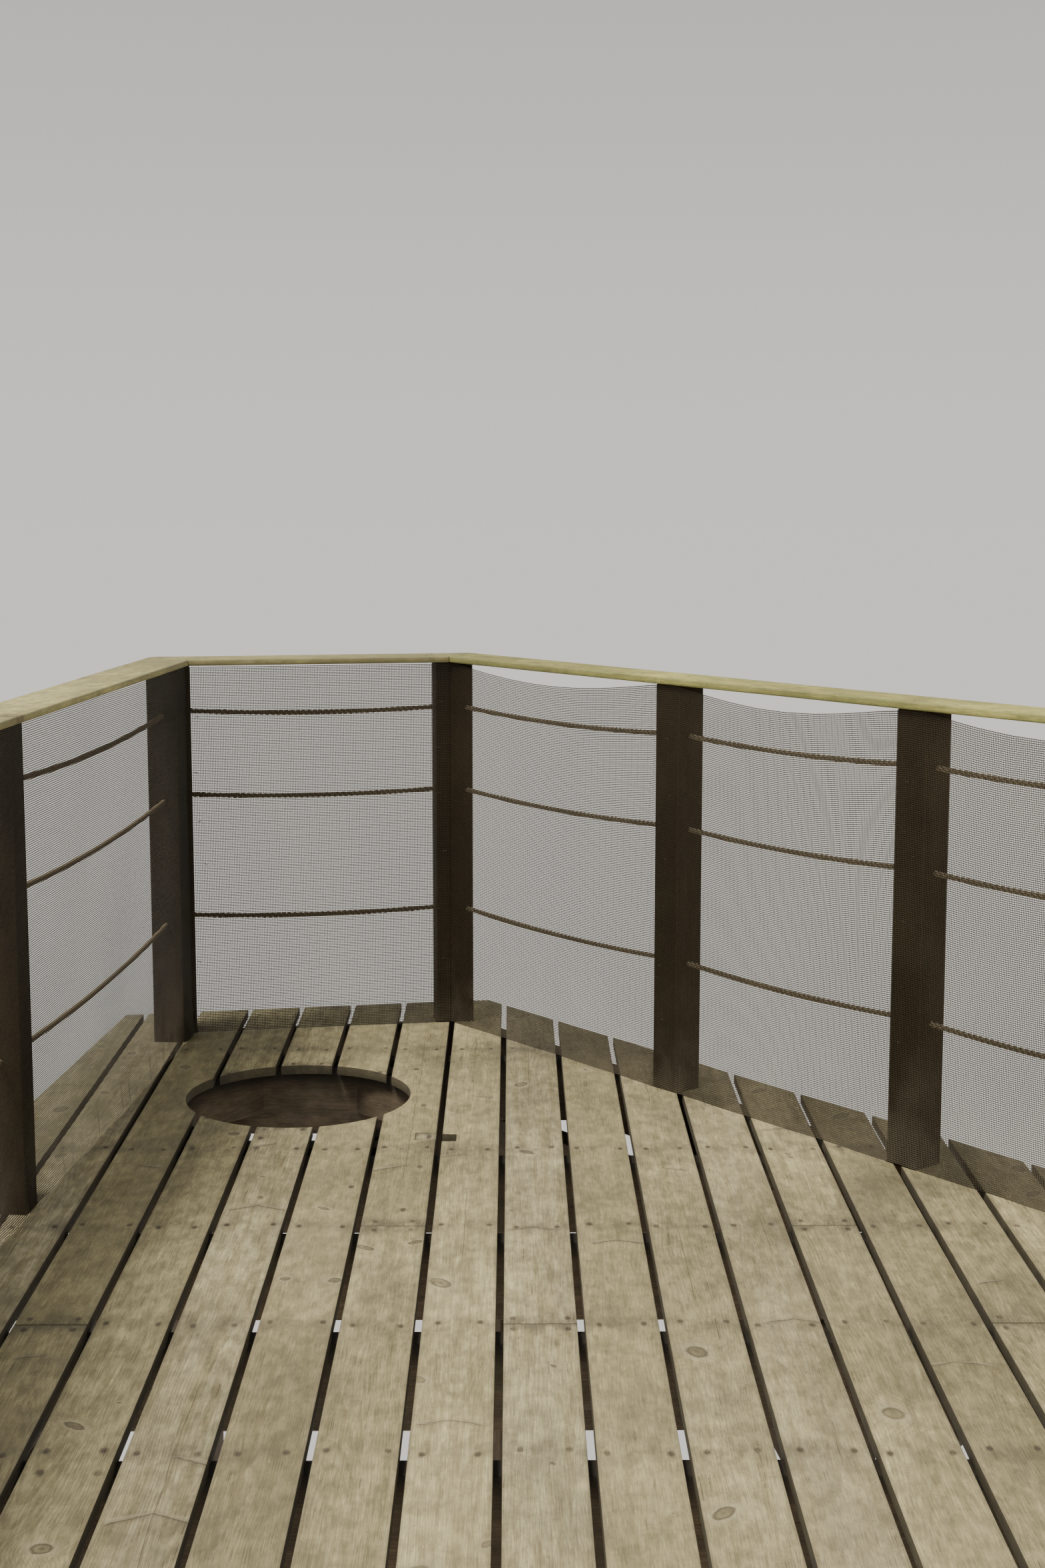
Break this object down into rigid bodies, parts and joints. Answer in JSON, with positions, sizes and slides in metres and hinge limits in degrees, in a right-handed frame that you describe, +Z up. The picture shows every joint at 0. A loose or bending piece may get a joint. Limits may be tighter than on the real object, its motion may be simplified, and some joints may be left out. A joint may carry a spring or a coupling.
{
  "type": "tree house deck",
  "caption": "Free-standing tree house deck on timber stilts, with a board floor cut round a trunk hole and a guard rail of posts, flat cap, ropes and fine net.",
  "frame": {"origin": "middle of the deck in plan, on the ground under it", "axes": "+Y along the deck boards, from the house side to the far corner, +Z up"},
  "size_m": [3.943, 5.1608, 3.721],
  "materials": {
    "deck_board": "weathered grey softwood, dry",
    "cap_timber": "weathered pale grey softwood, a little algae",
    "post_timber": "dark brown stain, weathered",
    "frame_timber": "rough sawn, weathered",
    "stilt_timber": "planed timber, weathered",
    "rope": "twisted natural fibre, dirty",
    "net": "fine woven mesh, dark brown",
    "shoe_steel": "galvanised"
  },
  "bodies": {
    "root": {"shoes": "shoe_steel", "stilts_left": "stilt_timber", "stilts_right": "stilt_timber", "bearer_left": "frame_timber", "bearer_far_right": "frame_timber", "bearer_right": "frame_timber", "knee_braces": "frame_timber", "joists": "frame_timber", "trunk_trimmers": "frame_timber", "trunk_headers": "frame_timber", "trunk_corner_blocks": "frame_timber", "rim_left": "frame_timber", "rim_far_left": "frame_timber", "rim_far_right": "frame_timber", "rim_right": "frame_timber", "rim_house": "frame_timber", "boards_1": "deck_board", "boards_2": "deck_board", "boards_3": "deck_board", "boards_4": "deck_board", "boards_5": "deck_board", "post_left_1": "post_timber", "post_left_2": "post_timber", "post_left_3": "post_timber", "post_corner_left": "post_timber", "post_corner_far": "post_timber", "post_far_1": "post_timber", "post_far_2": "post_timber", "post_far_3": "post_timber", "post_corner_right": "post_timber", "post_right_1": "post_timber", "post_right_2": "post_timber", "ropes_left": "rope", "ropes_far_left": "rope", "ropes_far_right": "rope", "ropes_right": "rope", "net_left": "net", "net_far_left": "net", "net_far_right": "net", "net_right": "net", "cap_left": "cap_timber", "cap_far_left": "cap_timber", "cap_far_right": "cap_timber", "cap_right": "cap_timber"}
  },
  "joints": []
}
